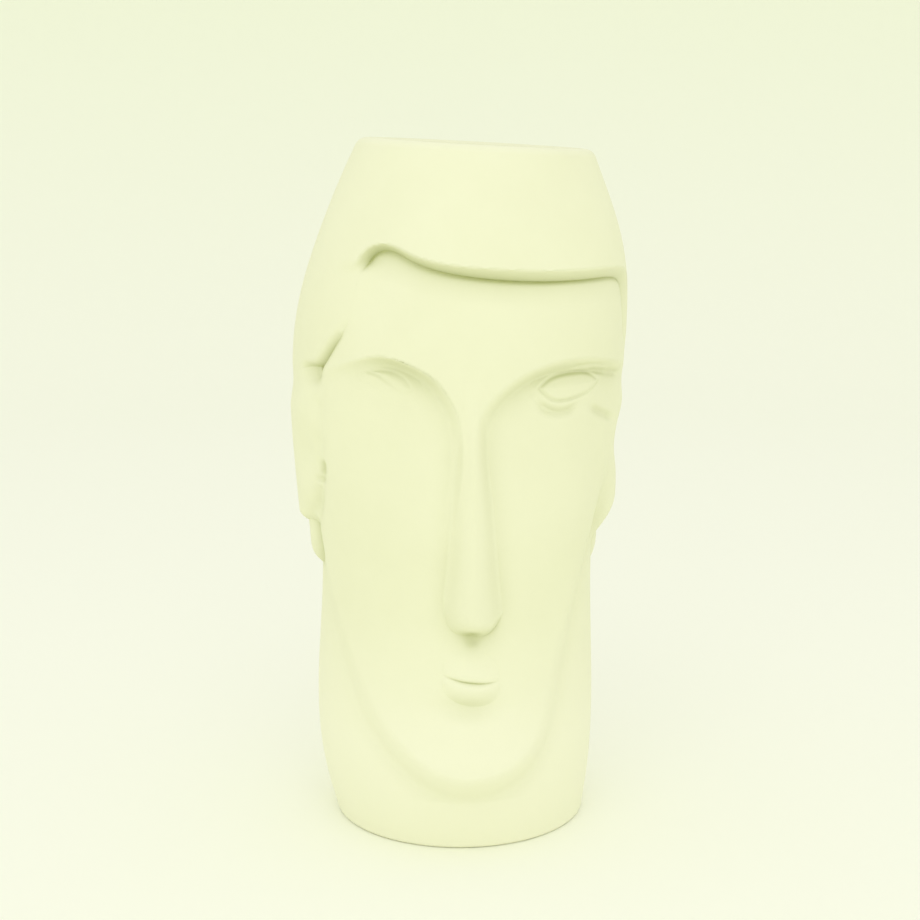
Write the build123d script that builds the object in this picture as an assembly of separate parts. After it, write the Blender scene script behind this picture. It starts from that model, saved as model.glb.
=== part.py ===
"""Face vase: a cast clay vessel with a luted floor, a pressed face mask, applied hair, ears and ear drops.

Millimetres. +Z is up and the origin is the centre of the foot on the table.
The face looks along -Y. Left and right are the viewer's, so left is -X.
"""

import os
from math import atan2, degrees, radians, sin

from build123d import *

# Vessel: zone heights from the table up, the wall's outer radii between them, and each ring's sideways sway
FOOT_HEIGHT = 22.0
NECK_HEIGHT = 93.0
HEAD_HEIGHT = 100.0
CROWN_HEIGHT = 43.0
RIM_HEIGHT = 42.0
FOOT_RADIUS = 56.0
NECK_RADIUS = 60.3
HEAD_RADIUS = 64.5
CROWN_RADIUS = 59.0
RIM_RADIUS = 46.5
NECK_SWAY = -1.5
CROWN_SWAY = 4.0
RIM_SWAY = 7.0
RIM_TILT = 3.0
RIM_ROUNDING = 1.5
WALL = 5.0

# Floor: a disc luted into the foot ring of the wall, flush with its underside
FOOT_RING_WIDTH = 6.0
FLOOR_THICKNESS = 8.0

# Face heights, each above the one that it names, with the chin above the table
CHIN_HEIGHT = 44.0
CHIN_TO_MOUTH = 35.0
MOUTH_TO_NOSE = 20.0
NOSE_LENGTH = 92.0
NOSE_TO_CHEEK = 31.0
BRIDGE_TO_EYE = 10.0
EYE_TO_BROW = 13.0
BROW_TO_FRINGE = 32.0

# Face mask: how far its front and its sides stand off the wall. A negative side runs into the wall
CHIN_ROOT_DROP = 20.0
CHIN_ROOT_SINK = 2.5
CHIN_RELIEF = 6.5
MOUTH_RELIEF = 8.7
CHEEK_RELIEF = 9.2
BROW_RELIEF = 6.2
FOREHEAD_RELIEF = 3.6
CHIN_SIDE = -9.5
MOUTH_SIDE = -2.0
CHEEK_SIDE = 0.8
BROW_SIDE = 3.6
FOREHEAD_SIDE = 3.0

# Face outline, seen from the front: a half ellipse up to the jaw's widest level, then a flare to the ears
JAW_OFFSET = 62.0
JAW_RISE = 116.0
CHIN_EDGE_DROP = 12.0
CHEEK_OFFSET = 66.0

# Eye sockets and eyelids
SOCKET_DEPTH = 4.8
SOCKET_FADE = 58.0
SOCKET_FLARE = 1.0
BROW_INNER_OFFSET = 13.0
BROW_INNER_DROP = 11.0
BROW_PEAK_OFFSET = 36.0
BROW_OUTER_OFFSET = 58.0
BROW_OUTER_DROP = 5.0
EYE_OFFSET = 38.0
EYE_WIDTH = 32.0
EYE_HEIGHT = 12.0
EYE_BULGE = 3.6

# Nose
BRIDGE_WIDTH = 7.0
BRIDGE_RELIEF = 1.6
NOSE_WIDTH = 21.0
NOSE_RELIEF = 9.5
NOSE_TIP_HEIGHT = 7.0
NOSE_UNDERCUT = 4.0
NOSE_ROOT = 4.0
NOSE_STEPS = 4

# Lips
UPPER_LIP_WIDTH = 27.0
LOWER_LIP_WIDTH = 23.0
LIP_HEIGHT = 9.0
LIP_OVERLAP = 2.0
LIP_RELIEF = 3.2

# Hair: how far it stands off the wall, and the line of its edge seen from the front and from the side
NAPE_HAIR = 3.0
HEAD_HAIR = 8.8
CROWN_HAIR = 7.8
RIM_HAIR = 4.0
HOOK_OFFSET = 41.0
HOOK_RISE = 7.0
CREST_OFFSET = 35.0
CREST_RISE = 14.0
WAVE_OFFSET = 13.0
WAVE_RISE = 4.0
TEMPLE_OFFSET = 64.0
TEMPLE_DROP = 2.0
SIDE_HAIR_OFFSET = 67.0
NAPE_DROP = 75.0
HAIR_CORNER = 9.0

# Ears and ear drops
EAR_RISE = 2.0
EAR_HEIGHT = 65.0
EAR_DEPTH = 40.0
EAR_RELIEF = 11.0
EAR_ADVANCE = 8.0
CONCHA_HEIGHT = 30.0
CONCHA_WIDTH = 15.0
CONCHA_DEPTH = 4.0
DROP_LENGTH = 26.0
DROP_WIDTH = 13.0
DROP_RELIEF = 6.5
DROP_OVERLAP = 4.0

# Heights that follow from these
NECK_TOP = FOOT_HEIGHT + NECK_HEIGHT
HEAD_MIDDLE = NECK_TOP + HEAD_HEIGHT
CROWN_MIDDLE = HEAD_MIDDLE + CROWN_HEIGHT
HEIGHT = CROWN_MIDDLE + RIM_HEIGHT
JAW_LINE = CHIN_HEIGHT + JAW_RISE
MOUTH_LINE = CHIN_HEIGHT + CHIN_TO_MOUTH
NOSE_BASE = MOUTH_LINE + MOUTH_TO_NOSE
CHEEK_LINE = NOSE_BASE + NOSE_TO_CHEEK
NOSE_BRIDGE = NOSE_BASE + NOSE_LENGTH
EYE_LINE = NOSE_BRIDGE + BRIDGE_TO_EYE
BROW_LINE = EYE_LINE + EYE_TO_BROW
FRINGE_LINE = BROW_LINE + BROW_TO_FRINGE
EAR_TOP = EYE_LINE + EAR_RISE
NAPE_LINE = EAR_TOP - NAPE_DROP

# Further than the vase reaches, for rays and cutters
BEYOND = 3 * HEIGHT
SIDES = {"left": -1, "right": 1}


def ellipsoid(half_width, relief, half_height):
    """A swelling that looks along -Y: a ball with its poles on Y, stretched to three half sizes."""
    return scale(Rot(90, 0, 0) * Sphere(1.0), by=(half_width, relief, half_height))


def slab(low, high):
    """All of space between two heights."""
    return Pos(0, 0, (low + high) / 2) * Box(BEYOND, BEYOND, high - low)


def hits(body, start, direction):
    """The points where a ray goes through a body's surface."""
    return [point for point, _ in body.find_intersection_points(Axis(start, direction))]


def front_of(body, height, offset):
    """The frontmost point of a body at a height and a place across it."""
    return min(hits(body, (offset, -BEYOND, height), (0, 1, 0)), key=lambda point: point.Y)


def side_of(body, height, side, depth=0.0):
    """The outermost point of a body at a height, on its left (-1) or right (1)."""
    points = hits(body, (side * BEYOND, depth, height), (-side, 0, 0))
    return max(points, key=lambda point: side * point.X)


def ring_at(body, height):
    """The middle and the radius of a round body at a height."""
    left = side_of(body, height, -1).X
    right = side_of(body, height, 1).X
    return (left + right) / 2, (right - left) / 2


def turned_at(point, middle):
    """A place at a point of the face, turned to look straight out from the vase's middle."""
    return Pos(point.X, point.Y, point.Z) * Rot(0, 0, degrees(atan2(point.X - middle, -point.Y)))


def oval(middle, height, half_width, half_depth):
    """A level ellipse whose seam is at the back."""
    return Pos(middle, 0, height) * Rot(0, 0, 90) * Ellipse(half_depth, half_width)


def front_region(outline):
    """Everything in the front half that an outline covers, seen from the front."""
    return extrude(Plane.XZ * make_face(outline), BEYOND)


def vessel_form(offset=0.0, with_hair=False):
    """The vessel's round form, moved out by an offset, with or without the hair. It runs on above the rim."""
    spare = 2 * RIM_RADIUS * sin(radians(RIM_TILT))
    spare_fall = (CROWN_RADIUS - RIM_RADIUS) * spare / RIM_HEIGHT
    rings = [
        (0, FOOT_RADIUS, 0, 0),
        (FOOT_HEIGHT, NECK_RADIUS, NECK_SWAY, NAPE_HAIR),
        (NECK_TOP, NECK_RADIUS, NECK_SWAY, NAPE_HAIR),
        (HEAD_MIDDLE, HEAD_RADIUS, 0, HEAD_HAIR),
        (CROWN_MIDDLE, CROWN_RADIUS, CROWN_SWAY, CROWN_HAIR),
        (HEIGHT, RIM_RADIUS, RIM_SWAY, RIM_HAIR),
        (HEIGHT + spare, RIM_RADIUS - spare_fall, RIM_SWAY, RIM_HAIR),
    ]
    sections = []
    for height, bare_radius, sway, hair in rings:
        radius = bare_radius + offset + with_hair * hair
        sections.append(oval(sway, height, radius, radius))
    return loft(sections)


def above_rim():
    """All of space above the sloping plane of the rim."""
    return Pos(RIM_SWAY, 0, HEIGHT) * Rot(0, RIM_TILT, 0) * slab(0, BEYOND)


def rounded_rim(solid):
    """A piece with the edges of its rim rounded."""
    top = solid.faces().sort_by(Axis.Z)[-1]
    return fillet(top.edges(), RIM_ROUNDING)


def floor_disc():
    """The disc that closes the foot."""
    standing = (Align.CENTER, Align.CENTER, Align.MIN)
    return Cylinder(FOOT_RADIUS - FOOT_RING_WIDTH, FLOOR_THICKNESS, align=standing)


def vessel_wall(form):
    """The round wall, open at the rim, with a ring inside its foot that holds the floor."""
    cavity = vessel_form(-WALL) & slab(FLOOR_THICKNESS, BEYOND)
    return form - cavity - floor_disc() - above_rim()


def hair_front_region():
    """What lies above the fringe and the side hair, in the front half."""
    left_foot = (-TEMPLE_OFFSET, EAR_TOP)
    hook = (-HOOK_OFFSET, FRINGE_LINE + HOOK_RISE)
    crest = (-CREST_OFFSET, FRINGE_LINE + CREST_RISE)
    wave = (-WAVE_OFFSET, FRINGE_LINE + WAVE_RISE)
    corner = (TEMPLE_OFFSET, FRINGE_LINE - TEMPLE_DROP)
    right_foot = (SIDE_HAIR_OFFSET, EAR_TOP)
    return front_region([
        Line((-BEYOND, EAR_TOP), left_foot),
        Line(left_foot, hook),
        Spline(hook, crest, tangents=[(0, 1), (1, 0)]),
        Spline(crest, wave, corner, tangents=[(1, 0), (WAVE_OFFSET, -WAVE_RISE), (1, 0)]),
        Line(corner, right_foot),
        Polyline(right_foot, (BEYOND, EAR_TOP), (BEYOND, BEYOND), (-BEYOND, BEYOND), (-BEYOND, EAR_TOP)),
    ])


def hair_back_region():
    """What lies above the ears, or behind them and above the nape line, in the back half."""
    behind_ear = EAR_DEPTH / 2 - EAR_ADVANCE
    edge = FilletPolyline(
        (0, EAR_TOP),
        (behind_ear, EAR_TOP),
        (behind_ear, NAPE_LINE),
        (BEYOND, NAPE_LINE),
        radius=HAIR_CORNER,
    )
    outline = make_face([edge, Polyline((BEYOND, NAPE_LINE), (BEYOND, BEYOND), (0, BEYOND), (0, EAR_TOP))])
    return extrude(Plane.YZ * outline, BEYOND, both=True)


def mask_form(wall_form):
    """The pressed face before it is trimmed: ellipses that stand off the wall at the front and sides."""
    rings = [
        (CHIN_HEIGHT - CHIN_ROOT_DROP, -CHIN_ROOT_SINK, CHIN_SIDE - CHIN_RELIEF),
        (CHIN_HEIGHT, CHIN_RELIEF, CHIN_SIDE),
        (MOUTH_LINE, MOUTH_RELIEF, MOUTH_SIDE),
        (CHEEK_LINE, CHEEK_RELIEF, CHEEK_SIDE),
        (BROW_LINE, BROW_RELIEF, BROW_SIDE),
        (FRINGE_LINE, FOREHEAD_RELIEF, FOREHEAD_SIDE),
        (FRINGE_LINE + 2 * CREST_RISE, FOREHEAD_RELIEF, FOREHEAD_SIDE),
    ]
    sections = []
    for height, front, side in rings:
        middle, radius = ring_at(wall_form, height)
        sections.append(oval(middle, height, radius + side, radius + front))
    return loft(sections)


def face_region():
    """What lies within the outline of the jaw, the cheeks and the temples, in the front half."""
    left_jaw = (NECK_SWAY - JAW_OFFSET, JAW_LINE)
    right_jaw = (NECK_SWAY + JAW_OFFSET, JAW_LINE)
    left_ear = (NECK_SWAY - CHEEK_OFFSET, EAR_TOP)
    right_ear = (NECK_SWAY + CHEEK_OFFSET, EAR_TOP)
    jaw = EllipticalCenterArc(
        (NECK_SWAY, JAW_LINE),
        JAW_OFFSET,
        JAW_RISE + CHIN_EDGE_DROP,
        start_angle=180,
        arc_size=180,
    )
    above = Polyline(
        right_jaw,
        right_ear,
        (NECK_SWAY + CHEEK_OFFSET, BEYOND),
        (NECK_SWAY - CHEEK_OFFSET, BEYOND),
        left_ear,
        left_jaw,
    )
    return front_region([jaw, above])


def socket(form, side):
    """The hollow of one eye: it is deep below the brow and runs out on the cheek."""
    middle, _ = ring_at(form, EYE_LINE)
    low = EYE_LINE - SOCKET_FADE
    brow = [
        (BRIDGE_WIDTH / 2, NOSE_BRIDGE),
        (BROW_INNER_OFFSET, BROW_LINE - BROW_INNER_DROP),
        (BROW_PEAK_OFFSET, BROW_LINE),
        (BROW_OUTER_OFFSET, BROW_LINE - BROW_OUTER_DROP),
    ]
    corners = [brow[-1], (BROW_OUTER_OFFSET, low), (BRIDGE_WIDTH / 2, low), brow[0]]
    outline = [
        Spline(*[(middle + side * across, height) for across, height in brow]),
        Polyline(*[(middle + side * across, height) for across, height in corners]),
    ]
    floor_depths = [
        (low, -SOCKET_FLARE),
        (EYE_LINE, SOCKET_DEPTH),
        (BROW_LINE, SOCKET_DEPTH),
        (FRINGE_LINE, SOCKET_DEPTH),
    ]
    sections = []
    for height, depth in floor_depths:
        middle, radius = ring_at(form, height)
        front = front_of(form, height, middle)
        sections.append(oval(middle, height, radius + SOCKET_FLARE, -front.Y - depth))
    return front_region(outline) - loft(sections)


def eyelid(face, side):
    """The swelling of one closed eye, in its socket."""
    middle, _ = ring_at(face, EYE_LINE)
    point = front_of(face, EYE_LINE, middle + side * EYE_OFFSET)
    return turned_at(point, middle) * ellipsoid(EYE_WIDTH / 2, EYE_BULGE, EYE_HEIGHT / 2)


def nose_form(form):
    """The long ridge of the nose, from its undercut base to the bridge."""
    tip = NOSE_BASE + NOSE_TIP_HEIGHT
    rings = [(NOSE_BASE, NOSE_WIDTH, NOSE_RELIEF - NOSE_UNDERCUT)]
    for step in range(NOSE_STEPS + 1):
        share = step / NOSE_STEPS
        rings.append((
            tip + share * (NOSE_BRIDGE - tip),
            NOSE_WIDTH + share * (BRIDGE_WIDTH - NOSE_WIDTH),
            NOSE_RELIEF + share * (BRIDGE_RELIEF - NOSE_RELIEF),
        ))
    sections = []
    for height, width, relief in rings:
        middle, _ = ring_at(form, height)
        front = front_of(form, height, middle)
        sections.append(Pos(middle, front.Y + NOSE_ROOT, height) * Ellipse(width / 2, relief + NOSE_ROOT))
    return loft(sections)


def lip(form, width, side):
    """The upper (1) or the lower (-1) lip, cut level where the lips meet."""
    height = MOUTH_LINE + side * LIP_HEIGHT / 2
    middle, _ = ring_at(form, height)
    front = front_of(form, height, middle)
    swelling = ellipsoid(width / 2, LIP_RELIEF, LIP_HEIGHT / 2 + LIP_OVERLAP)
    other_lip = slab(*sorted((MOUTH_LINE, MOUTH_LINE - side * BEYOND)))
    return Pos(middle, front.Y, height) * swelling - other_lip


def side_place(wall_form, height, side):
    """A place on the wall before the middle of its left (-1) or right (1) side, looking straight out."""
    root = side_of(wall_form, height, side, -EAR_ADVANCE)
    return Pos(root.X, root.Y, height) * Rot(0, 0, side * 90)


def ear_form(wall_form, side):
    """One ear, with its hollow."""
    shell = ellipsoid(EAR_DEPTH / 2, EAR_RELIEF, EAR_HEIGHT / 2)
    hollow = ellipsoid(CONCHA_WIDTH / 2, CONCHA_DEPTH, CONCHA_HEIGHT / 2)
    ear = shell - Pos(0, -EAR_RELIEF, 0) * hollow
    return side_place(wall_form, EAR_TOP - EAR_HEIGHT / 2, side) * ear


def drop_form(wall_form, side):
    """One ear drop, hanging from the ear's lobe against the neck."""
    height = EAR_TOP - EAR_HEIGHT - DROP_LENGTH / 2 + DROP_OVERLAP
    return side_place(wall_form, height, side) * ellipsoid(DROP_WIDTH / 2, DROP_RELIEF, DROP_LENGTH / 2)


def build():
    """Every piece of the vase, by name."""
    wall_form = vessel_form()
    hair = vessel_form(with_hair=True) - wall_form - above_rim()
    fringe = hair & hair_front_region()
    back = hair & hair_back_region()

    pressed = mask_form(wall_form)
    form = pressed - [socket(pressed, side) for side in SIDES.values()]
    face = (form & face_region()) - wall_form - hair_front_region()
    pieces = {
        "vessel_wall": rounded_rim(vessel_wall(wall_form)),
        "floor_disc": floor_disc(),
        "face_mask": face,
        "nose": nose_form(pressed) - form,
        "upper_lip": lip(form, UPPER_LIP_WIDTH, 1) - form,
        "lower_lip": lip(form, LOWER_LIP_WIDTH, -1) - form,
        "hair_fringe": fringe,
        "hair_back": back,
    }
    for name, side in SIDES.items():
        pieces[name + "_eye"] = eyelid(form, side) - form
        ear = ear_form(wall_form, side) - wall_form - face - fringe - back
        pieces[name + "_ear"] = ear
        pieces[name + "_ear_drop"] = drop_form(wall_form, side) - wall_form - face - ear
    return pieces


os.makedirs("parts", exist_ok=True)
for name, piece in build().items():
    export_step(piece, f"parts/{name}.step")
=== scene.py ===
"""Face vase: a tall matt cream ceramic vessel with a long stylised face, swept hair, ears and ear drops.

Sizes are millimetres until a mesh is made. An azimuth is in degrees from the way the face looks (-Y),
positive to the viewer's right. Every form is a radius over azimuth and height, about an axis that sways
sideways with height. Distances along the surface are taken on the unrolled vase: arc across, height up.
"""

from math import cos, radians, sin, tan

import bmesh
import bpy
import numpy as np
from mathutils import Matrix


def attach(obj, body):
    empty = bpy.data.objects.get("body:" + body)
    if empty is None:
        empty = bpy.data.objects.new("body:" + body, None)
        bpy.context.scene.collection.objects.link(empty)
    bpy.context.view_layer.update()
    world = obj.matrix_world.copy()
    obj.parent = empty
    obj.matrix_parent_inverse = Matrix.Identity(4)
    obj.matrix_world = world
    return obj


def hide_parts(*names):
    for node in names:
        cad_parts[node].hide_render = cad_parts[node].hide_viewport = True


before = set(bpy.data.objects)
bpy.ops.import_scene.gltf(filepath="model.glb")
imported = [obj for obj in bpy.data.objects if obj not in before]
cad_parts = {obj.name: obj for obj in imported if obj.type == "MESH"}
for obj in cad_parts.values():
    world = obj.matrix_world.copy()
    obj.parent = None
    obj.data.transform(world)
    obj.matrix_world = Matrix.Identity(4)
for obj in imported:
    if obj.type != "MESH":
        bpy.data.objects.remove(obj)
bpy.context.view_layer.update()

MM = 0.001
UNROLL_RADIUS = 66.0
ARC_PER_DEGREE = radians(UNROLL_RADIUS)

# Vessel: height, wall radius, sideways sway, and how far the hair stands off the wall
RINGS = [
    (0, 56.0, 0.0, 0.0),
    (22, 60.3, -1.5, 3.0),
    (115, 60.3, -1.5, 3.0),
    (215, 64.5, 0.0, 8.75),
    (258, 59.0, 4.0, 7.8),
    (300, 46.5, 7.0, 4.0),
]
HEIGHT = RINGS[-1][0]
WALL = 5.0
FOOT_ROUND = 1.8
FLOOR_RADIUS = 50.0
FLOOR_THICKNESS = 8.0
FLOOR_ROUND = 0.8
# The rim: its slope down to the right and to the front, from the height where that starts, and its
# rounding, from the lean of the hair below it over the crest into the mouth
RIM_SWAY = RINGS[-1][2]
RIM_TILT = radians(3.0)
RIM_PITCH = radians(0.8)
LEAN_START = 252.0
RIM_ROUND = 5.5
RIM_LEAN = radians(19.0)
RIM_END = radians(100.0)
RIM_BED_RISE = RIM_ROUND / 4
RIM_INNER_ANGLE = 82.0

# Face: height, how far its front and its sides stand off the wall
FACE_RINGS = [
    (16, 7.5, 1.0),
    (36, 10.0, 1.0),
    (62, 8.0, 1.0),
    (82, 8.4, 1.0),
    (130, 9.2, 2.4),
    (160, 8.4, 5.0),
    (180, 7.8, 6.2),
    (214, 6.2, 6.8),
    (246, 2.8, 4.8),
    (276, 2.8, 3.4),
]
# The jaw's crease from the left temple round the chin to the right temple, as azimuth and height
JAW = [
    (-112, 276), (-108, 215), (-92, 160), (-76, 105), (-60, 80), (-50, 62), (-41, 49), (-29, 36),
    (-15, 25), (0, 21), (15, 24), (29, 34), (40, 53), (47, 79), (57, 106), (80, 150), (108, 215),
    (112, 276),
]
JAW_FILLET = 17.0
FACE_AZIMUTHS = (-90, 90)
FACE_HEIGHTS = (FACE_RINGS[0][0], FACE_RINGS[-1][0])
CHIN_FOLD_DEPTH = 2.0
CHIN_FOLD_HEIGHT = 67.5
CHIN_FOLD_HALF = (14.0, 5.5)

# Eye sockets: the edge of each from the nose's flank over the bridge and along the brow
SOCKET_EDGES = {
    "left": [
        (-8, 112), (-5.5, 145), (-2.8, 178), (-4.6, 191.5), (-8, 199.5), (-12.2, 205.8), (-18, 210.3),
        (-25, 213.5), (-33, 215), (-41, 213), (-60, 205),
    ],
    "right": [
        (7, 112), (4, 145), (0.6, 178), (3.2, 194), (9.2, 202.2), (15.2, 207.2), (22.6, 210.8),
        (31, 212.8), (40.5, 213), (53, 211.3), (66, 208.6), (86, 204),
    ],
}
# How deep each socket is by azimuth from the middle of the face
SOCKET_DEPTHS = {
    "left": [(0, 2.4), (8, 4.4), (18, 6.2), (32, 5.6), (42, 3.0), (54, 0.9), (90, 0.6)],
    "right": [(0, 2.4), (8, 4.4), (20, 6.2), (40, 6.0), (62, 5.2), (80, 4.0), (95, 2.6)],
}
# How far below its edge each socket is at its full depth, how rounded its edge is, and its foot
SOCKET_LEDGES = {"left": (4.8, 1.0, 1.5), "right": (6.2, 1.5, 1.5)}
SOCKET_LOW = 132.0
SOCKET_FULL = 196.0

# Eyes: the lids' lines as azimuth and height, the relief across the lid's edge and its strength
LIDS = {
    "left": (
        [(-38.5, 208), (-36, 208.7), (-32.7, 208.9), (-28.5, 208), (-24.6, 205.6), (-21.8, 201.4)],
        [(-38.5, 208), (-35.2, 207), (-32.1, 205), (-28.1, 202), (-24.4, 200), (-21.8, 201.4)],
    ),
    "right": (
        [(25.5, 201.3), (29.9, 204.8), (34.1, 206.1), (40.2, 206.5), (49.1, 205.6), (59.1, 201)],
        [
            (25.5, 201.3), (27.9, 198.6), (31.8, 195.7), (38.9, 194.9), (46.9, 196), (53.8, 197.8),
            (59.1, 201),
        ],
    ),
}
LID_PROFILE = [
    (-10, -2.2), (-7, -0.45), (-5.4, -0.1), (-4.6, 0.02), (-3, 0.12), (-1.7, 0.35), (-0.7, 0.25),
    (0, -0.25), (0.8, 0.3), (2.6, 1.0), (5, 1.4), (9, 1.4),
]
# How strong the eye's relief is by azimuth
EYE_RELIEFS = {
    "left": [(-39, 0.5), (-33, 0.4), (-27, 0.2), (-22, 0.2)],
    "right": [(25, 0.6), (40, 0.75), (49, 0.62), (60, 0.3)],
}
EYE_BED = 1.6
EYE_BED_EDGES = (-4.4, -2.2)

# Creases in the skin, each with its depth, its half width and how far from its ends it fades: under the
# right eye, on the right cheek, two folds beside that eye, down the left temple, a pit at its end, down
# the front of the left ear, four in that ear, a swelling (below zero) before the right ear, and a hollow
# under the nose
CREASES = [
    ([(23, 197.5), (29.7, 191.8), (39, 190.2), (48, 193)], 1.2, 1.8, 9.0),
    ([(50, 191.2), (62.7, 186.4), (80, 179.5)], 1.3, 1.8, 13.0),
    ([(36.4, 208.4), (44.5, 209.3), (53.9, 208.5), (68, 206)], 0.6, 0.9, 8.0),
    ([(46, 207), (55.7, 205.6), (66, 203.6), (78, 201)], 0.8, 1.1, 8.0),
    ([(-49, 224.5), (-53, 217.5), (-57.5, 211), (-62, 205.5)], 1.0, 1.7, 3.0),
    ([(-63, 205), (-68, 203.8)], 2.6, 4.5, 0.1),
    ([(-61.5, 198), (-60.5, 180), (-61.5, 165), (-65, 153), (-72, 142)], 0.7, 4.5, 8.0),
    ([(-64, 175), (-65, 167)], 1.1, 4.5, 0.1),
    ([(-62, 164.8), (-62.4, 162.8)], 1.8, 2.3, 0.1),
    ([(-60, 159.5), (-68.5, 157.8)], 1.0, 1.3, 2.5),
    ([(-66, 157), (-68.5, 148), (-74, 140)], 1.1, 3.5, 4.0),
    ([(74, 198), (71, 180), (71, 160), (76, 146)], -1.8, 9.0, 0.1),
    ([(0.6, 100), (0.6, 97.4)], 1.3, 2.8, 0.1),
]

# Nose: height, half width, relief of the ridge above the face and how peaked its section is
NOSE_RINGS = [
    (90, 12.8, 9.3, 1.65),
    (106, 12.8, 9.3, 1.65),
    (116, 11.7, 8.6, 1.7),
    (150, 8.8, 5.4, 1.8),
    (180, 5.7, 2.4, 1.8),
    (196, 4.2, 0.6, 1.7),
    (206, 4.2, 0.0, 1.7),
]
NOSE_TOP = NOSE_RINGS[-1][0]
NOSE_APEX = 94.2
NOSE_WING_RISE = 16.5
NOSE_SLOPE = 1.0
NOSE_SLOPE_GAIN = 0.6
NOSE_TIP_ROUND = 4.5
NOSE_KEEL_ROUND = 3.4
NOSE_HOLLOW_HEIGHT = 99.4
NOSE_HOLLOW_DEPTH = 5.4
NOSE_HOLLOW_HALF = (5.2, 3.4)

# Lips: the line where they meet as arc and height, and the relief above and below it
MOUTH_LINE = [(-12, 83), (-4, 80.3), (2.4, 79.2), (8, 78.9), (13, 79.7)]
UPPER_LIP_PROFILE = [
    (-3, -1.6), (-0.5, 1.0), (0.3, 1.75), (1.4, 2.2), (5, 1.7), (9, 0.9), (12.5, 0.38), (16, 0.1),
    (20, -0.4),
]
LOWER_LIP_PROFILE = [
    (-3, -1.6), (-0.5, 1.0), (0.3, 1.75), (1.6, 2.6), (5.5, 2.5), (10.5, 0.5), (14, -1.2),
]
LIP_HALF_WIDTH = 12.5
LIP_MIDDLE = 0.6
LIP_FALL = 1.2
LIP_TAPER = 0.5
LIP_SINK = 0.25
LIP_LAP = 3.0
UPPER_LIP_REACH = 17.0
LOWER_LIP_REACH = 12.0

# Hair: its edge from the middle of the nape over the right ear, the fringe and the left ear back to the
# nape, as azimuth and height
HAIR_EDGE = [
    (180, 128), (158, 128), (136, 128), (116, 128), (106, 132), (101.5, 145), (101.5, 170), (100, 192),
    (95, 199), (88, 202), (84, 209), (82, 229), (79, 238), (75, 241.8), (68.8, 243.9), (47.4, 245.2),
    (18, 245.7), (-0.5, 247.3), (-15, 249.7), (-27.3, 253.8), (-34.3, 256.8), (-39.6, 257), (-43.2, 255),
    (-45.2, 251.3), (-46.3, 245), (-47, 237), (-48.2, 226), (-52.5, 219), (-56.6, 212.5), (-61, 208),
    (-66, 207.4), (-72, 205.5), (-79, 203.5), (-94, 200.5), (-100, 192), (-101.5, 170), (-101.5, 145),
    (-106, 132), (-116, 128), (-136, 128), (-158, 128), (-180, 128),
]
# What the front and the back hair span, and how low the mesh of each reaches
FRINGE_AZIMUTHS = (-90, 90)
FRINGE_LOW = 194.0
BACK_AZIMUTHS = (90, 270)
BACK_LOW = 120.0
# Width of the bevel along the hair's edge by azimuth
HAIR_LEDGE = [(-60, 2.8), (-40, 2.8), (-22, 3.2), (0, 3.9), (30, 4.2), (60, 4.0), (90, 3.8)]
HAIR_LEAST = 0.15
# Where the fringe runs smoothly into the left temple: heights over which this comes and goes, its front
# azimuth, how fast it sets in behind that, and half its width
BLEND_HEIGHTS = (205, 235, 247.5, 253.5)
BLEND_FRONT = -36.0
BLEND_TURN = 10.0
BLEND_HALF = 20.0
HAIR_GROOVE_HALF = 1.1
# Depth of the groove under the hair's edge by azimuth
HAIR_GROOVE = [
    (-100, 0.4), (-66, 0.4), (-52, 1.3), (-45, 0.8), (-40, 0.4), (-22, 0.5), (-4, 1.15), (60, 1.15),
    (78, 0.95), (100, 0.6),
]

# Ears: the outline of each as azimuth and height. The hair covers the top
EAR_OUTLINES = {
    "left": [
        (-60, 198), (-58.5, 182), (-59, 166), (-61, 157), (-65, 148), (-70.5, 140.5), (-79, 135),
        (-89, 133.5), (-96, 141), (-100, 155), (-101.5, 175), (-101.5, 192), (-100, 210), (-90, 220),
        (-75, 221), (-64, 214),
    ],
    "right": [
        (74, 214), (80, 221), (92, 220), (100, 210), (101.5, 192), (101.5, 175), (100, 155), (97, 141),
        (92, 134), (86, 130), (80, 126.5), (74, 125.5), (69, 132), (67, 146), (68, 164), (69, 182),
        (71, 198),
    ],
}
EAR_RELIEF = 9.4
EAR_ROUND = 8.0
EAR_POWER = 2.2
EAR_DIVE_RATE = 0.9
EAR_SOFT_ROUND = 17.0
EAR_SOFT_FRONTS = {"left": 72.0, "right": 86.0}
EAR_SOFT_TURN = 14.0
EAR_TUCK_HEIGHTS = (186, 200)
EAR_TUCK = 0.15
HELIX_INSET = 9.0
HELIX_HALF = 2.4
HELIX_DEPTH = 1.2
HELIX_FRONT = 84.0
# Ear hollows: azimuth, height, half width, half height and depth
EAR_HOLLOWS = [(-71, 169, 8.0, 14, 3.0), (84, 171, 6.5, 12, 3.0)]

# Ear drops: the left one's outline as azimuth and height
DROP_OUTLINE = [
    (-79, 142), (-77, 134), (-77.5, 126), (-80, 119.5), (-84, 116.5), (-87.2, 119.5), (-89.7, 126),
    (-91, 134), (-89.5, 142),
]
DROP_RELIEFS = {"left": 5.4, "right": 2.2}
DROP_ROUND = 7.0
DROP_POWER = 1.5
DROP_DIVE_RATE = 1.5

# How fast and how far a piece dives under the surface that carries it, outside its outline
DIVE_RATE = 0.03
DIVE_LIMIT = 2.5
BED = 3.3

# How far a piece's mesh runs on past its outline
SIDE_MARGIN = 4.0
NOSE_MARGIN = 6.0
EYE_MARGIN = 9.0
DROP_MARGIN = 3.0

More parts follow.
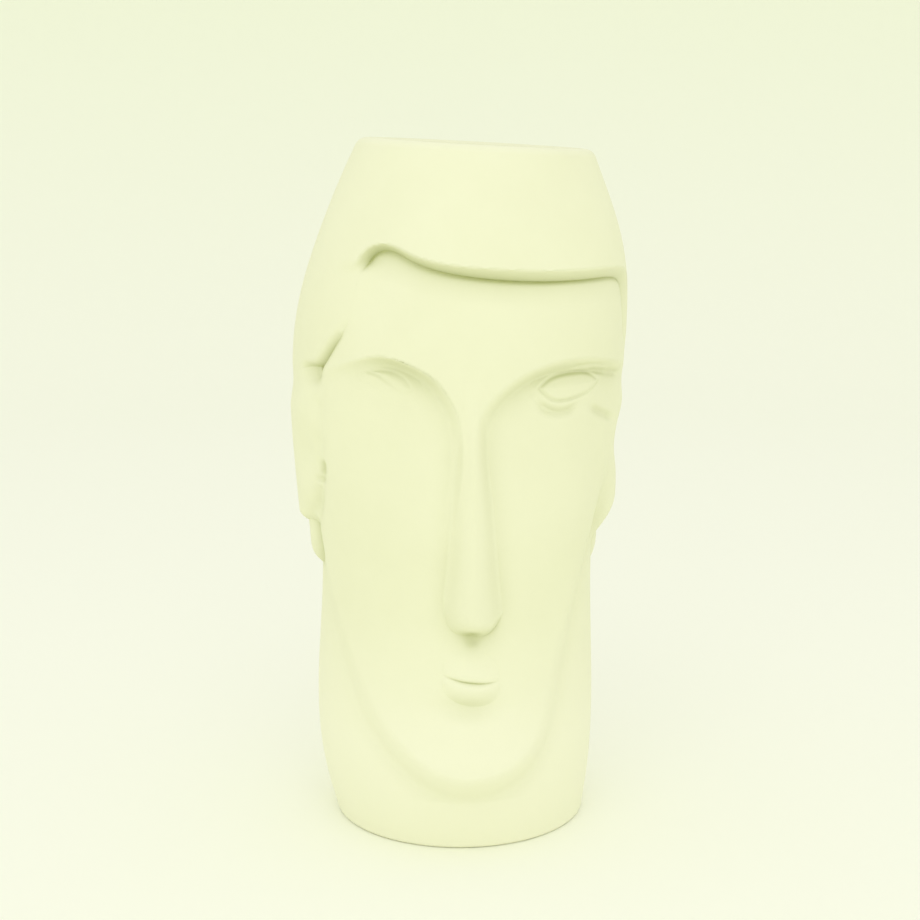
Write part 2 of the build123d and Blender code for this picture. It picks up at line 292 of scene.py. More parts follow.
# Mesh spacing, and how many cells, columns, rows, steps or points make up a form
FACE_GRID = 0.9
FRINGE_GRID = 0.75
BACK_GRID = 1.2
FINE_GRID = 0.4
EAR_GRID = 0.6
WALL_GRID = 3.0
FLOOR_SHARES = (0.05, 0.3, 0.6, 0.9)
COARSE = 4
LATHE_COLUMNS = 192
RIM_ROWS = 12
ARC_STEPS = 8
CORNER_STEPS = 6
EDGE_STEPS = 4
CAVITY_STEPS = 4
TRACE_SAMPLES = 8
TRACE_LAP = 3
SMOOTH_ANGLE = radians(55.0)
MEASURE_BLOCK = 4096

# Clay: noise as scale, detail and roughness, stops as position and colour, levels and distances in metres
CLOUD_NOISE = (22.0, 4.0, 0.55)
CLOUD_STOPS = ((0.3, (0.872, 0.880, 0.640)), (0.7, (0.897, 0.905, 0.670)))
# Painted light: below these levels the clay turns towards a paler colour, standing in for brighter light
# on the lower body
PAINTED_BOUNCE_LEVELS = (0.105, 0.045)
PAINTED_BOUNCE_COLOUR = (0.935, 0.935, 0.735, 1.0)
# Painted shade: how sheltered a place is, read by ambient occlusion, darkens the clay towards a dark
# colour in creases, recesses and under ledges, and is left off at the foot below the foot levels
PAINTED_SHADE_REACH = 0.013
PAINTED_SHADE_STOPS = ((0.57, (0.0, 0.0, 0.0)), (0.985, (1.0, 1.0, 1.0)))
PAINTED_SHADE_COLOUR = (0.50, 0.53, 0.25, 1.0)
UNSHADED_FOOT_LEVELS = (0.034, 0.022)
SHEEN_NOISE = (60.0, 3.0, 0.55)
SHEEN_STOPS = ((0.3, (0.52, 0.52, 0.52)), (0.7, (0.66, 0.66, 0.66)))
GRAIN_NOISE = (900.0, 3.0, 0.6)
GRAIN_STRENGTH = 0.08
GRAIN_HEIGHT = 0.0004
CLAY_GLOSS = 0.35

# Stage: the floor's radius and hub, the bend up into the wall as radius, angles and steps, and the two
# shades with the levels in metres between which they change
STAGE_FLOOR = 1150.0
STAGE_HUB = 40.0
STAGE_BEND = 700.0
STAGE_ARC = (-80, 0, 10)
STAGE_LEVELS = (0.0, 0.5)
STAGE_SHADES = ((0.965, 0.978, 0.855, 1.0), (0.93, 0.965, 0.785, 1.0))
STAGE_ROUGHNESS = 0.9
STAGE_GLOSS = 0.1

# Light, and the view: metres and watts
SKY_COLOUR = (1.0, 1.0, 0.98, 1.0)
SKY_STRENGTH = 0.92
SEEN_SKY_COLOUR = (0.86, 0.90, 0.69, 1.0)
SOFTBOX_SIZE = 1.2
SOFTBOX_POWER = 3.0
SOFTBOX_PLACE = (-0.15, -1.0, 1.25)
SOFTBOX_TURN = (radians(42.6), 0.0, radians(-8.5))
VIEW_ANGLE = radians(30.02)
VIEW_PLACE = (-0.0657, -0.7511, 0.304)
VIEW_TURN = (radians(90 - 10.776), 0.0, radians(-5))


def curve(knots):
    """A natural cubic spline through (position, value) knots, level beyond its ends."""
    at, value = np.array(knots, float).T
    step = np.diff(at)
    rise = np.diff(value) / step
    matrix = np.eye(len(at))
    target = np.zeros(len(at))
    for i in range(1, len(at) - 1):
        matrix[i, i - 1:i + 2] = step[i - 1], 2 * (step[i - 1] + step[i]), step[i]
        target[i] = 6 * (rise[i] - rise[i - 1])
    bend = np.linalg.solve(matrix, target)

    def evaluate(position):
        x = np.clip(position, at[0], at[-1])
        i = np.clip(np.searchsorted(at, x) - 1, 0, len(step) - 1)
        after, before, width = x - at[i], at[i + 1] - x, step[i]
        cubic = (bend[i] * before**3 + bend[i + 1] * after**3) / (6 * width)
        start = value[i] / width - bend[i] * width / 6
        end = value[i + 1] / width - bend[i + 1] * width / 6
        return cubic + start * before + end * after

    return evaluate


def smooth(x):
    """A soft step from 0 to 1."""
    x = np.clip(x, 0.0, 1.0)
    return x * x * (3 - 2 * x)


def columns(rows, *chosen):
    """The first column of a table with each of some others, as knots."""
    return [[(row[0], row[column]) for row in rows] for column in chosen]


def dimple(across, up, half):
    """A soft dip of depth 1 at places off its middle, with half widths across and up."""
    half_width, half_height = half
    return np.exp(-((across / half_width) ** 2) - (up / half_height) ** 2)


def mirrored(points):
    """The same outline on the other side of the face, run the same way round."""
    return [(-azimuth, height) for azimuth, height in points][::-1]


def trace(points, closed=False):
    """A smooth line through a few points of azimuth and height, on the unrolled vase."""
    knots = np.array(points, float)
    if closed:
        knots = np.concatenate([knots[-TRACE_LAP:], knots, knots[:TRACE_LAP]])
    knots[:, 0] *= ARC_PER_DEGREE
    along = np.concatenate([[0], np.cumsum(np.hypot(*np.diff(knots, axis=0).T))])
    stretches = len(along) - 1
    samples = np.linspace(0, stretches, TRACE_SAMPLES * stretches + 1)
    place_at = np.interp(samples, range(len(along)), along)
    line = np.stack([curve(list(zip(along, column)))(place_at) for column in knots.T], axis=-1)
    if closed:
        line = line[TRACE_LAP * TRACE_SAMPLES:(1 - TRACE_LAP) * TRACE_SAMPLES]
    return line


def measure(line, azimuth, height):
    """How far to the left of a line each of some places on the vase is."""
    start = line[:-1]
    run = np.diff(line, axis=0)
    length2 = (run**2).sum(axis=1)
    places = np.stack([azimuth * ARC_PER_DEGREE, height], axis=-1).reshape(-1, 2)
    distance = np.empty(len(places))
    for low in range(0, len(places), MEASURE_BLOCK):
        block = slice(low, low + MEASURE_BLOCK)
        to = places[block, None] - start
        share = np.clip((to * run).sum(axis=2) / length2, 0, 1)
        off = to - share[..., None] * run
        nearest = (off**2).sum(axis=2).argmin(axis=1)
        gap, direction = off[np.arange(len(nearest)), nearest], run[nearest]
        side = np.sign(direction[:, 0] * gap[:, 1] - direction[:, 1] * gap[:, 0])
        distance[block] = side * np.hypot(*gap.T)
    return distance.reshape(azimuth.shape)


wall_radius, sway, hair_relief = map(curve, columns(RINGS, 1, 2, 3))
face_front, face_side = map(curve, columns(FACE_RINGS, 1, 2))
nose_half, nose_relief, nose_fullness = map(curve, columns(NOSE_RINGS, 1, 2, 3))
mouth_height = curve(MOUTH_LINE)
hair_groove = curve(HAIR_GROOVE)
hair_ledge = curve(HAIR_LEDGE)
JAW_TRACE = trace(JAW)
HAIR_TRACE = trace(HAIR_EDGE)
EAR_TRACES = [trace(outline, closed=True) for outline in EAR_OUTLINES.values()]
RIM_START = HEIGHT - RIM_ROUND * (1 - sin(RIM_LEAN))
RIM_CREST = float(wall_radius(RIM_START) + hair_relief(RIM_START)) - RIM_ROUND * cos(RIM_LEAN)


def dive(distance):
    """How far a piece lies below what carries it, at a distance outside its outline."""
    return np.minimum(DIVE_RATE * np.minimum(distance, 0) ** 2, DIVE_LIMIT)


def socket_depth(side, azimuth, height):
    """How deep one eye socket is cut into the face."""
    distance = measure(trace(SOCKET_EDGES[side]), azimuth, height)
    inside = distance if side == "left" else -distance
    depth = curve(SOCKET_DEPTHS[side])(np.abs(azimuth))
    fade = smooth((height - SOCKET_LOW) / (SOCKET_FULL - SOCKET_LOW))
    width, edge, foot = SOCKET_LEDGES[side]
    return depth * fade * (1 - (1 - np.clip(inside / width, 0, 1) ** edge) ** foot)


def bare_face(azimuth, height):
    """The pressed face without the hair's edge: a swelling within the jaw, with sockets and creases."""
    inside = measure(JAW_TRACE, azimuth, height)
    across = azimuth * ARC_PER_DEGREE
    facing = np.cos(np.radians(azimuth)) ** 2
    relief = face_side(height) + facing * (face_front(height) - face_side(height))
    for side in SOCKET_EDGES:
        relief = relief - socket_depth(side, azimuth, height)
    relief = relief - CHIN_FOLD_DEPTH * dimple(across, height - CHIN_FOLD_HEIGHT, CHIN_FOLD_HALF)
    for line, depth, half, fade in CREASES:
        path = trace(line)
        off_ends = [np.hypot(across - x, height - z) for x, z in path[[0, -1]]]
        off = measure(path, azimuth, height) / half
        relief = relief - depth * smooth(np.minimum(*off_ends) / fade) * np.exp(-(off**2))
    return wall_radius(height) + relief * smooth(inside / JAW_FILLET) - dive(inside)


def temple_blend(azimuth, height):
    """How far the hair runs into the skin without a ledge, from 0 to 1."""
    low, full, level, high = BLEND_HEIGHTS
    window = smooth((height - low) / (full - low)) * smooth((high - height) / (high - level))
    return window * smooth((BLEND_FRONT - azimuth) / BLEND_TURN)


def covered_face(azimuth, height):
    """The face, grooved under the hair's edge and risen to the hair at the left temple."""
    bare = bare_face(azimuth, height)
    inside = -measure(HAIR_TRACE, azimuth, height)
    blend = temple_blend(azimuth, height)
    rise = blend * smooth((inside / BLEND_HALF + 1) / 2)
    groove = hair_groove(azimuth) * (1 - blend) * np.exp(-((inside / HAIR_GROOVE_HALF) ** 2))
    return bare + (wall_radius(height) + hair_relief(height) - bare) * rise - groove - dive(-inside)


def eye_inside(side, azimuth, height):
    """How far inside the lids of one eye each of some places is."""
    upper, lower = (trace(line) for line in LIDS[side])
    return np.minimum(-measure(upper, azimuth, height), measure(lower, azimuth, height))


def face_radius(azimuth, height):
    """The face with a bed sunk in it for each eye."""
    radius = covered_face(azimuth, height)
    low, high = EYE_BED_EDGES
    for side in LIDS:
        radius = radius - EYE_BED * smooth((eye_inside(side, azimuth, height) - low) / (high - low))
    return radius


def skin_radius(azimuth, height):
    """What the ears lie on: the face, or the wall where there is none."""
    return np.maximum(bare_face(azimuth, height), wall_radius(height))


def ear_radius(azimuth, height):
    """The ears: rounded shells, soft at the front, with a groove inside the rim and a hollow before it."""
    inside = np.maximum(*(-measure(line, azimuth, height) for line in EAR_TRACES))
    aside = np.abs(azimuth)
    skin, wall = skin_radius(azimuth, height), wall_radius(height)
    front = np.where(azimuth < 0, EAR_SOFT_FRONTS["left"], EAR_SOFT_FRONTS["right"])
    behind = smooth((aside - front) / EAR_SOFT_TURN)
    crisp = 1 - (1 - np.clip(inside / EAR_ROUND, 0, 1)) ** EAR_POWER
    soft = smooth(inside / EAR_SOFT_ROUND)
    low, high = EAR_TUCK_HEIGHTS
    tuck = smooth((height - low) / (high - low))
    relief = EAR_RELIEF + (hair_relief(height) - EAR_TUCK - EAR_RELIEF) * tuck
    form = skin + (wall + relief - skin) * (soft + (crisp - soft) * behind)
    groove = HELIX_DEPTH * np.exp(-(((inside - HELIX_INSET) / HELIX_HALF) ** 2))
    form = form - groove * smooth((aside - HELIX_FRONT) / EAR_SOFT_TURN)
    for middle, level, *half, depth in EAR_HOLLOWS:
        form = form - depth * dimple((azimuth - middle) * ARC_PER_DEGREE, height - level, half)
    return form - np.minimum(-EAR_DIVE_RATE * np.minimum(inside, 0), skin - wall + DIVE_LIMIT)


def hair_radius(azimuth, height):
    """The hair: a ledge above the fringe and the ears, which runs smoothly into the left temple."""
    wrapped = (azimuth + 180) % 360 - 180
    inside = -measure(HAIR_TRACE, wrapped, height)
    crisp = np.minimum(inside / hair_ledge(wrapped), 1)
    soft = smooth((inside / BLEND_HALF + 1) / 2)
    blend = temple_blend(wrapped, height)
    skin = np.maximum(skin_radius(wrapped, height), ear_radius(wrapped, height))
    wall = wall_radius(height)
    share = crisp + (soft - crisp) * blend
    lift = np.maximum(wall + hair_relief(height) - skin, HAIR_LEAST)
    radius = skin + lift * share - blend * dive(inside)
    return np.maximum(radius, wall - DIVE_LIMIT)


def nose_radius(azimuth, height):
    """The long ridge of the nose over the face, with a sloping three-cornered underside."""
    aside = azimuth * ARC_PER_DEGREE - LIP_MIDDLE
    across = np.abs(aside)
    half = nose_half(height)
    fullness = nose_fullness(height)
    ridge = nose_relief(height) * np.cos(np.clip(across / half, 0, 1) * np.pi / 2) ** fullness
    low_edge = NOSE_APEX + NOSE_WING_RISE * (np.hypot(across, NOSE_KEEL_ROUND) - NOSE_KEEL_ROUND) / half
    slope = NOSE_SLOPE + NOSE_SLOPE_GAIN * np.clip(aside / half, -1, 1)
    underside = np.maximum(slope * (height - low_edge), -DIVE_LIMIT)
    overlap = np.maximum(NOSE_TIP_ROUND - np.abs(ridge - underside), 0)
    relief = np.minimum(ridge, underside) - overlap**2 / (4 * NOSE_TIP_ROUND)
    relief = relief - NOSE_HOLLOW_DEPTH * dimple(across, height - NOSE_HOLLOW_HEIGHT, NOSE_HOLLOW_HALF)
    return covered_face(azimuth, height) + relief - dive(half - across) - dive(NOSE_TOP - height)


def lip_radius(profile, side):
    """The radius of the upper (1) or the lower (-1) lip."""
    relief = curve(profile)

    def radius(azimuth, height):
        across = azimuth * ARC_PER_DEGREE
        share = np.abs(across - LIP_MIDDLE) / LIP_HALF_WIDTH
        taper = LIP_TAPER + (1 - LIP_TAPER) * np.sqrt(np.clip(1 - share**2, 0, 1))
        swell = relief(side * (height - mouth_height(across)) / taper)
        full = np.clip(1 - share**2, 0, 1) ** LIP_FALL
        fall = dive((1 - share) * LIP_HALF_WIDTH)
        return covered_face(azimuth, height) + np.where(swell > 0, swell * full, swell) - fall - LIP_SINK

    return radius


def eye_radius(side):
    """The radius of one eye: a blank almond with a groove and a low lid round it."""
    relief, strength = curve(LID_PROFILE), curve(EYE_RELIEFS[side])
    hidden = LID_PROFILE[1][1]

    def radius(azimuth, height):
        swell = relief(eye_inside(side, azimuth, height))
        return covered_face(azimuth, height) + np.where(swell > hidden, swell * strength(azimuth), swell)

    return radius


def drop_radius(outline, relief):
    """The radius of one ear drop: a tapered pendant against the neck."""
    line = trace(outline, closed=True)

    def radius(azimuth, height):
        inside = -measure(line, azimuth, height)
        skin, wall = skin_radius(azimuth, height), wall_radius(height)
        swell = relief * (1 - (1 - np.clip(inside / DROP_ROUND, 0, 1)) ** DROP_POWER)
        steep = np.minimum(-DROP_DIVE_RATE * np.minimum(inside, 0), skin - wall + DIVE_LIMIT)
        return skin + swell - steep

    return radius


def place(azimuth, radius, height):
    """Points in metres, on the swaying axis and under the sloping rim."""
    turn = np.radians(azimuth)
    x = sway(height) + radius * np.sin(turn)
    y = -radius * np.cos(turn) + 0 * x
    lean = smooth((height - LEAN_START) / (HEIGHT - LEAN_START))
    z = height - lean * (tan(RIM_TILT) * (x - RIM_SWAY) - tan(RIM_PITCH) * y)
    return MM * np.stack([x, y, z], axis=-1)


def spread(low, high, spacing):
    """Even steps from low to high, a whole number of coarse cells in all."""
    cells = COARSE * max(1, round((high - low) / spacing / COARSE))
    return np.linspace(low, high, cells + 1)


def turns(azimuths, spacing):
    """Azimuths from one to another, evenly spaced along the surface."""
    low, high = azimuths
    return spread(low * ARC_PER_DEGREE, high * ARC_PER_DEGREE, spacing) / ARC_PER_DEGREE


def add_mesh(name, points, faces):
    """A smooth-shaded object with its faces looking outwards."""
    mesh = bpy.data.meshes.new(name)
    mesh.from_pydata(points.tolist(), [], faces)
    work = bmesh.new()
    work.from_mesh(mesh)
    bmesh.ops.recalc_face_normals(work, faces=work.faces)
    work.to_mesh(mesh)
    work.free()
    mesh.shade_smooth()
    mesh.set_sharp_from_angle(angle=SMOOTH_ANGLE)
    piece = bpy.data.objects.new(name, mesh)
    bpy.context.scene.collection.objects.link(piece)
    return piece


def shell(name, outer, inner):
    """A closed piece: a fine outer grid of points, and a coarse inner one at some of its places."""
    inner = inner[::COARSE, ::COARSE]
    rows, cols = outer.shape[:2]
    front = np.arange(rows * cols).reshape(rows, cols)
    back = front.size + np.arange(inner.shape[0] * inner.shape[1]).reshape(inner.shape[:2])
    faces = []
    for grid in (front, back[:, ::-1]):
        corners = grid[:-1, :-1], grid[:-1, 1:], grid[1:, 1:], grid[1:, :-1]
        faces += np.stack(corners, axis=-1).reshape(-1, 4).tolist()
    borders = [
        (front[0], back[0]),
        (front[-1, ::-1], back[-1, ::-1]),
        (front[::-1, 0], back[::-1, 0]),
        (front[:, -1], back[:, -1]),
    ]
    for fine, coarse in borders:
        for i in range(len(coarse) - 1):
            run = fine[i * COARSE:(i + 1) * COARSE + 1]
            faces.append([*run[::-1].tolist(), int(coarse[i]), int(coarse[i + 1])])
    return add_mesh(name, np.concatenate([outer.reshape(-1, 3), inner.reshape(-1, 3)]), faces)


def patch(name, azimuths, heights, radius, carrier, spacing):
    """A closed piece over a span of azimuths and heights, bedded in what carries it."""
    azimuth, height = np.meshgrid(turns(azimuths, spacing), spread(*heights, spacing))
    outer = radius(azimuth, height)
    inner = np.minimum(carrier(azimuth, height), outer) - BED
    return shell(name, place(azimuth, outer, height), place(azimuth, inner, height))


def wall_carrier(azimuth, height):
    """The bare wall, as what carries a piece."""
    return wall_radius(height) + 0 * azimuth + DIVE_LIMIT / 2


def hair_patch(name, azimuths, low, spacing):
    """A closed piece of hair from a level up to the rounded rim."""
    across = turns(azimuths, spacing)
    azimuth, height = np.meshgrid(across, spread(low, RIM_START, spacing))
    radius = hair_radius(azimuth, height)
    bed = np.minimum(wall_radius(height), radius) - DIVE_LIMIT / 2
    angle = np.linspace(RIM_LEAN, RIM_END, RIM_ROWS + 1)[1:, None] + 0 * across
    rim_azimuth = across + 0 * angle
    rim_height = HEIGHT - RIM_ROUND * (1 - np.sin(angle))
    rim_bed_height = np.linspace(RIM_START, RIM_START + RIM_BED_RISE, RIM_ROWS + 1)[1:, None] + 0 * across
    outer = np.concatenate([
        place(azimuth, radius, height),
        place(rim_azimuth, RIM_CREST + RIM_ROUND * np.cos(angle), rim_height),
    ])
    inner = np.concatenate([
        place(azimuth, bed, height),
        place(rim_azimuth, RIM_CREST - WALL / 2 + 0 * angle, rim_bed_height),
    ])
    return shell(name, outer, inner)


def lathe(name, profile, closed=True):
    """A round piece from a profile of radius and height, which closes on itself or on the axis."""
    radius, height = np.array(profile, float).T
    azimuth = np.arange(LATHE_COLUMNS) * 360 / LATHE_COLUMNS
    points = place(azimuth, radius[:, None], height[:, None] + 0 * azimuth)
    index = np.arange(points.size // 3).reshape(points.shape[:2])
    turned = np.roll(index, -1, axis=1)
    rings = range(len(profile) if closed else len(profile) - 1)
    faces = []
    for i in rings:
        j = (i + 1) % len(profile)
        faces += np.stack([index[i], turned[i], turned[j], index[j]], axis=-1).tolist()
    if not closed:
        faces += [index[0].tolist(), index[-1].tolist()]
    return add_mesh(name, points.reshape(-1, 3), faces)


def arc_points(middle_radius, middle_height, half_radius, half_height, first, last, steps=ARC_STEPS):
    """Points of a profile on an ellipse's arc, by angle from straight out towards straight up."""
    angles = np.radians(np.linspace(first, last, steps + 1))
    return [(middle_radius + half_radius * cos(a), middle_height + half_height * sin(a)) for a in angles]


def vessel_wall():
    """The round wall: foot ring, outside, rim and cavity."""
    foot = float(wall_radius(FOOT_ROUND))
    edge = FLOOR_RADIUS + FLOOR_ROUND
    profile = arc_points(edge, FLOOR_ROUND, FLOOR_ROUND, FLOOR_ROUND, 180, 270, EDGE_STEPS)
    profile += arc_points(foot - FOOT_ROUND, FOOT_ROUND, FOOT_ROUND, FOOT_ROUND, -90, 0)
    for height in spread(2 * FOOT_ROUND, RIM_START - RIM_ROUND, WALL_GRID):
        profile.append((float(wall_radius(height)), height))
    lip = RIM_CREST - (float(wall_radius(RIM_START)) - WALL)
    profile += arc_points(RIM_CREST, HEIGHT - RIM_ROUND, lip, RIM_ROUND, RIM_INNER_ANGLE, 180)
    for height in np.linspace(RIM_START - RIM_ROUND, 2 * FLOOR_THICKNESS, CAVITY_STEPS + 1):
        profile.append((float(wall_radius(height)) - WALL, height))
    corner = FLOOR_THICKNESS / 2
    middle = float(wall_radius(FLOOR_THICKNESS)) - WALL - corner
    profile += arc_points(middle, FLOOR_THICKNESS + corner, corner, corner, 0, -90, CORNER_STEPS)
    profile.append((FLOOR_RADIUS, FLOOR_THICKNESS))
    return lathe("vessel_wall_look", profile)


def floor_disc():
    """The floor of the vessel, let into its foot ring."""
    edge = FLOOR_RADIUS - FLOOR_ROUND
    profile = [(FLOOR_RADIUS * share, 0.0) for share in FLOOR_SHARES]
    profile += arc_points(edge, FLOOR_ROUND, FLOOR_ROUND, FLOOR_ROUND, -90, 0, EDGE_STEPS)
    profile += arc_points(edge, FLOOR_THICKNESS - FLOOR_ROUND, FLOOR_ROUND, FLOOR_ROUND, 0, 90, EDGE_STEPS)
    profile += [(FLOOR_RADIUS * share, FLOOR_THICKNESS) for share in FLOOR_SHARES[::-1]]
    return lathe("floor_disc_look", profile, closed=False)


def span(points, margin):
    """The azimuths and the heights that some points reach, and a margin."""
    azimuth, height = np.array(points, float).T
    turn = margin / ARC_PER_DEGREE
    return (azimuth.min() - turn, azimuth.max() + turn), (height.min() - margin, height.max() + margin)


def side_pieces(side):
    """The eye, the ear and the ear drop of one side."""
    upper, lower = LIDS[side]
    eye_span = span(upper + lower, EYE_MARGIN)
    ear_span = span(EAR_OUTLINES[side], SIDE_MARGIN)
    drop = DROP_OUTLINE if side == "left" else mirrored(DROP_OUTLINE)
    drop_form = drop_radius(drop, DROP_RELIEFS[side])
    return {
        side + "_eye": patch(side + "_eye_look", *eye_span, eye_radius(side), face_radius, FINE_GRID),
        side + "_ear": patch(side + "_ear_look", *ear_span, ear_radius, wall_carrier, EAR_GRID),
        side + "_ear_drop": patch(
            side + "_ear_drop_look", *span(drop, DROP_MARGIN), drop_form, wall_carrier, FINE_GRID
        ),
    }


def all_pieces():
    """Every piece of the vase by the node that it stands for."""
    middle, lip_turn = LIP_MIDDLE / ARC_PER_DEGREE, (LIP_HALF_WIDTH + SIDE_MARGIN) / ARC_PER_DEGREE
    lip_azimuths = (middle - lip_turn, middle + lip_turn)
    mouth = np.array(MOUTH_LINE)[:, 1]
    upper_heights = (mouth.min() - LIP_LAP, mouth.max() + UPPER_LIP_REACH)
    lower_heights = (mouth.min() - LOWER_LIP_REACH, mouth.max() + LIP_LAP)
    upper_form, lower_form = lip_radius(UPPER_LIP_PROFILE, 1), lip_radius(LOWER_LIP_PROFILE, -1)
    nose_turn = (NOSE_RINGS[0][1] + SIDE_MARGIN) / ARC_PER_DEGREE
    nose_span = (-nose_turn, nose_turn), (NOSE_APEX - NOSE_MARGIN, NOSE_TOP + NOSE_MARGIN)
    pieces = {
        "vessel_wall": vessel_wall(),
        "floor_disc": floor_disc(),
        "face_mask": patch(
            "face_mask_look", FACE_AZIMUTHS, FACE_HEIGHTS, face_radius, wall_carrier, FACE_GRID
        ),
        "nose": patch("nose_look", *nose_span, nose_radius, face_radius, FINE_GRID),
        "upper_lip": patch(
            "upper_lip_look", lip_azimuths, upper_heights, upper_form, face_radius, FINE_GRID
        ),
        "lower_lip": patch(
            "lower_lip_look", lip_azimuths, lower_heights, lower_form, face_radius, FINE_GRID
        ),
        "hair_fringe": hair_patch("hair_fringe_look", FRINGE_AZIMUTHS, FRINGE_LOW, FRINGE_GRID),
        "hair_back": hair_patch("hair_back_look", BACK_AZIMUTHS, BACK_LOW, BACK_GRID),
    }
    for side in SOCKET_EDGES:
        pieces.update(side_pieces(side))
    return pieces


def join(tree, node, inputs):
    """A node with its inputs set to values or joined to other nodes' outputs."""
    for name, value in inputs.items():
        if isinstance(value, bpy.types.NodeSocket):
            tree.links.new(value, node.inputs[name])
        else:
            node.inputs[name].default_value = value
    return node


def add_node(tree, kind, inputs):
    """A new shader node with its inputs."""
    return join(tree, tree.nodes.new("ShaderNode" + kind), inputs)


def noise(tree, where, scale, detail, roughness):
    """A soft random value over places."""
    inputs = {"Vector": where, "Scale": scale, "Detail": detail, "Roughness": roughness}
    return add_node(tree, "TexNoise", inputs).outputs["Fac"]


def ramp(tree, value, *stops):
    """A colour that runs from one stop to the next as a value rises."""
    node = add_node(tree, "ValToRGB", {"Fac": value})
    for element, (position, colour) in zip(node.color_ramp.elements, stops):
        element.position = position
        element.color = (*colour, 1.0)
    return node.outputs["Color"]


def level_share(tree, where, start, end):
    """How far places are from one level to another, from 0 to 1."""
    level = add_node(tree, "SeparateXYZ", {"Vector": where}).outputs["Z"]
    inputs = {"Value": level, "From Min": start, "From Max": end}
    return add_node(tree, "MapRange", inputs).outputs["Result"]


def mixed(tree, share, first, second):
    """A colour between two others."""
    node = tree.nodes.new("ShaderNodeMix")
    node.data_type = "RGBA"
    return join(tree, node, {"Factor": share, "A": first, "B": second}).outputs["Result"]


def larger(tree, first, second):
    """The larger of two values."""
    node = tree.nodes.new("ShaderNodeMath")
    node.operation = "MAXIMUM"
    return join(tree, node, {0: first, 1: second}).outputs["Value"]


def bisque():
    """Matt cream ceramic with faint clouds and a fine grain, with painted light that makes it paler low
    down and painted shade that makes it darker in creases.
    """
    material = bpy.data.materials.new("bisque_look")
    material.use_nodes = True
    tree = material.node_tree
    where = add_node(tree, "TexCoord", {}).outputs["Object"]
    clouds = ramp(tree, noise(tree, where, *CLOUD_NOISE), *CLOUD_STOPS)
    # Painted light: the clouded clay is mixed towards a paler colour low down, standing in for brighter
    # light there
    clay_with_painted_bounce = mixed(tree, level_share(tree, where, *PAINTED_BOUNCE_LEVELS), clouds, PAINTED_BOUNCE_COLOUR)
    # Painted shade: ambient occlusion darkens the colour in creases and under overhangs, but not at the
    # foot
    shelter = add_node(tree, "AmbientOcclusion", {"Distance": PAINTED_SHADE_REACH})
    openness = ramp(tree, shelter.outputs["AO"], *PAINTED_SHADE_STOPS)
    unshaded = larger(tree, openness, level_share(tree, where, *UNSHADED_FOOT_LEVELS))
    grain = {
        "Strength": GRAIN_STRENGTH,
        "Distance": GRAIN_HEIGHT,
        "Height": noise(tree, where, *GRAIN_NOISE),
    }
    join(tree, tree.nodes["Principled BSDF"], {
        "Base Color": mixed(tree, unshaded, PAINTED_SHADE_COLOUR, clay_with_painted_bounce),
        "Roughness": ramp(tree, noise(tree, where, *SHEEN_NOISE), *SHEEN_STOPS),
        "Specular IOR Level": CLAY_GLOSS,
        "Normal": add_node(tree, "Bump", grain).outputs["Normal"],
    })
    return material


def pale_paper():
    """Matt paper in two pale shades, from the floor up the wall."""
    material = bpy.data.materials.new("pale_paper")
    material.use_nodes = True
    tree = material.node_tree
    where = add_node(tree, "TexCoord", {}).outputs["Object"]
    join(tree, tree.nodes["Principled BSDF"], {
        "Base Color": mixed(tree, level_share(tree, where, *STAGE_LEVELS), *STAGE_SHADES),
        "Roughness": STAGE_ROUGHNESS,
        "Specular IOR Level": STAGE_GLOSS,
    })
    return material


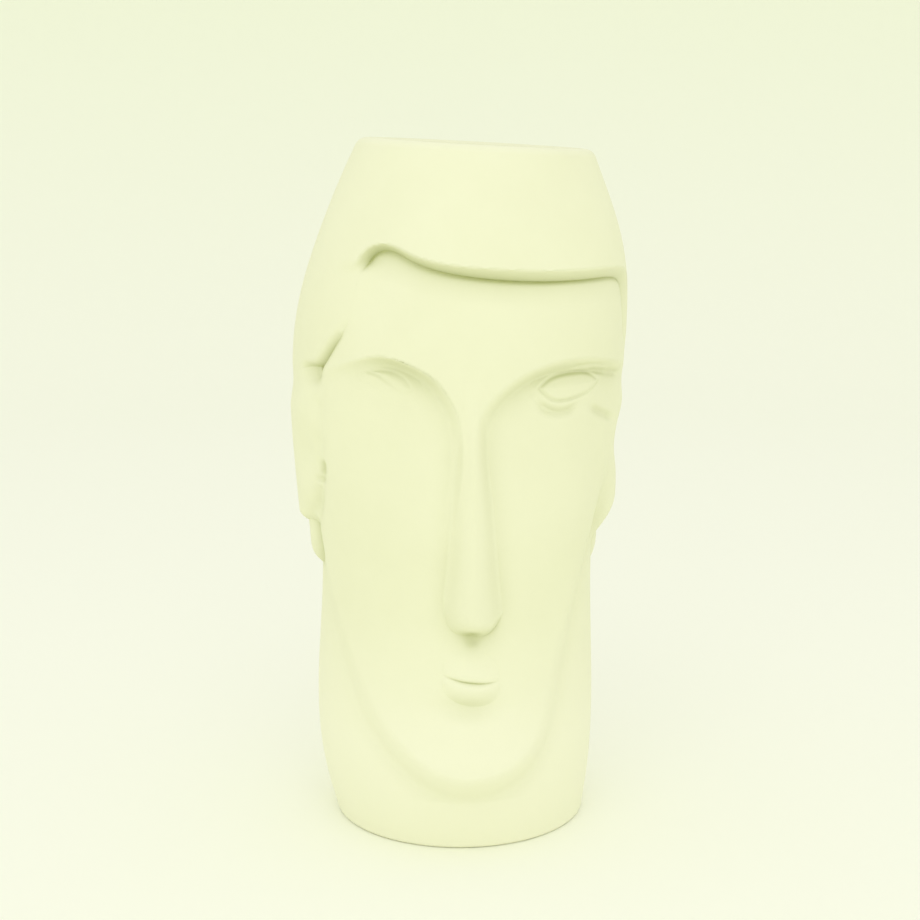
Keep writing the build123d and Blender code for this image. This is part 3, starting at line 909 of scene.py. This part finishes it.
def pale_stage():
    """A round floor that curves up into a wall all round."""
    profile = [(STAGE_HUB, 0.0), (STAGE_FLOOR / 2, 0.0), (STAGE_FLOOR, 0.0)]
    profile += arc_points(STAGE_FLOOR, STAGE_BEND, STAGE_BEND, STAGE_BEND, *STAGE_ARC)
    steps = np.arange(LATHE_COLUMNS) * 2 * np.pi / LATHE_COLUMNS
    points = [(r * cos(a) * MM, r * sin(a) * MM, z * MM) for r, z in profile for a in steps]
    index = np.arange(len(points)).reshape(len(profile), -1)
    turned = np.roll(index, -1, axis=1)
    corners = index[:-1], turned[:-1], turned[1:], index[1:]
    faces = np.stack(corners, axis=-1).reshape(-1, 4).tolist()
    faces.append(index[0].tolist())
    mesh = bpy.data.meshes.new("sweep")
    mesh.from_pydata(points, [], faces)
    mesh.shade_smooth()
    mesh.materials.append(pale_paper())
    sweep = bpy.data.objects.new("sweep", mesh)
    bpy.context.scene.collection.objects.link(sweep)


def lights():
    """A white sky, seen in a pale shade above the sweep, and one large soft lamp above the front."""
    world = bpy.data.worlds.new("sky")
    world.use_nodes = True
    tree = world.node_tree
    sky = join(tree, tree.nodes["Background"], {"Color": SKY_COLOUR, "Strength": SKY_STRENGTH})
    seen_sky = add_node(tree, "Background", {"Color": SEEN_SKY_COLOUR})
    rays = add_node(tree, "LightPath", {}).outputs
    mirrored_ray = larger(tree, rays["Is Glossy Ray"], rays["Is Transmission Ray"])
    either = add_node(tree, "MixShader", {
        "Fac": larger(tree, rays["Is Camera Ray"], mirrored_ray),
        1: sky.outputs["Background"],
        2: seen_sky.outputs["Background"],
    })
    join(tree, tree.nodes["World Output"], {"Surface": either.outputs["Shader"]})
    bpy.context.scene.world = world
    lamp = bpy.data.lights.new("softbox", "AREA")
    lamp.shape = "SQUARE"
    lamp.size = SOFTBOX_SIZE
    lamp.energy = SOFTBOX_POWER
    softbox = bpy.data.objects.new("softbox", lamp)
    softbox.location = SOFTBOX_PLACE
    softbox.rotation_euler = SOFTBOX_TURN
    softbox.visible_camera = False
    bpy.context.scene.collection.objects.link(softbox)


def camera():
    """The view: level with the rim and looking down a little, turned slightly to the vase's left."""
    lens = bpy.data.cameras.new("view")
    lens.sensor_fit = "HORIZONTAL"
    lens.angle = VIEW_ANGLE
    view = bpy.data.objects.new("view", lens)
    view.location = VIEW_PLACE
    view.rotation_euler = VIEW_TURN
    bpy.context.scene.collection.objects.link(view)
    bpy.context.scene.camera = view


finish = bisque()
for node, piece in all_pieces().items():
    piece.data.materials.append(finish)
    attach(piece, "root")
    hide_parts(node)
pale_stage()
lights()
camera()
bpy.context.scene.view_settings.view_transform = "Standard"
